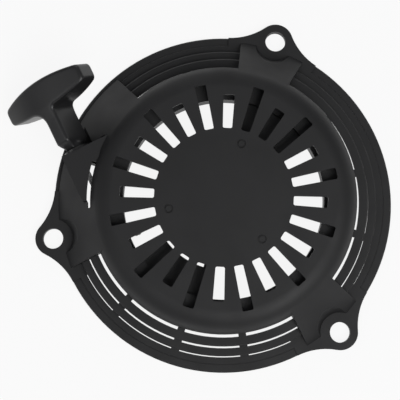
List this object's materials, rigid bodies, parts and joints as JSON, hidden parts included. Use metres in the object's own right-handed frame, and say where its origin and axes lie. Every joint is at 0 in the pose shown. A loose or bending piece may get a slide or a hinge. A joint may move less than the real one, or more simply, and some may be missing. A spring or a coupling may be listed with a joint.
{
  "type": "recoil starter",
  "caption": "Round pull starter with a slotted cover, bolt ears, T handle on a cord, and an inner reel with spring and pawls.",
  "frame": {"origin": "centre of the bolt circle, on the plane where the cover's rim and ears meet the engine", "axes": "+Z out of the cover's face along the reel's axis, +X to the right and +Y up as the face is seen, with one ear 72 degrees from +X"},
  "size_m": [0.2278, 0.2071, 0.0442],
  "materials": {
    "cover_plastic": "satin black moulded plastic",
    "guide_plastic": "smooth black acetal",
    "reel_plastic": "black moulded plastic",
    "zinc_steel": "zinc plated steel",
    "spring_steel": "blued spring steel",
    "pawl_steel": "hardened steel",
    "cam_plastic": "dark grey nylon",
    "grip_plastic": "satin black plastic",
    "rope_fibre": "braided light grey cord"
  },
  "bodies": {
    "cover": {"cover": "cover_plastic", "rope_guide": "guide_plastic", "spindle_sleeve": "zinc_steel", "center_screw": "zinc_steel", "thrust_washer": "zinc_steel", "recoil_spring": "spring_steel"},
    "reel": {"reel": "reel_plastic", "rope_winding": "rope_fibre", "reel_rope_knot": "rope_fibre", "spring_keeper": "zinc_steel", "pawl_pins": "zinc_steel", "pawl_spring_a": "spring_steel", "pawl_spring_b": "spring_steel"},
    "pawl_a": {"pawl_a": "pawl_steel"},
    "pawl_b": {"pawl_b": "pawl_steel"},
    "guide": {"ratchet_guide": "cam_plastic", "friction_spring": "spring_steel"},
    "handle": {"grip": "grip_plastic", "grip_insert": "zinc_steel", "grip_rope_knot": "rope_fibre", "rope_run": "rope_fibre"}
  },
  "joints": [
    {"name": "reel_spin", "type": "hinge", "parent": "cover", "child": "reel", "pos_m": [0, 0, 0.0225], "axis": [0, 0, -1], "range_deg": [0, 1140], "stiffness_Nm_per_rad": 0.04, "springref_deg": -687.55, "deforming": ["recoil_spring"]},
    {"name": "handle_pull", "type": "slide", "parent": "cover", "child": "handle", "axis": [-0.4384, 0.8988, 0], "range_m": [0, 1.27], "deforming": ["rope_run"]},
    {"name": "guide_turn", "type": "hinge", "parent": "reel", "child": "guide", "pos_m": [0, 0, 0.009], "axis": [0, 0, 1], "range_deg": [0, 20]},
    {"name": "pawl_a_swing", "type": "hinge", "parent": "reel", "child": "pawl_a", "pos_m": [0.022, 0, 0.0147], "axis": [0, 0, 1], "range_deg": [0, 25]},
    {"name": "pawl_b_swing", "type": "hinge", "parent": "reel", "child": "pawl_b", "pos_m": [-0.022, 0, 0.0147], "axis": [0, 0, 1], "range_deg": [0, 25]}
  ],
  "couplings": [
    {"joint": "handle_pull", "follows": "reel_spin", "m_per_rad": 0.0637},
    {"joint": "pawl_a_swing", "follows": "guide_turn", "ratio": 1.25},
    {"joint": "pawl_b_swing", "follows": "guide_turn", "ratio": 1.25}
  ]
}
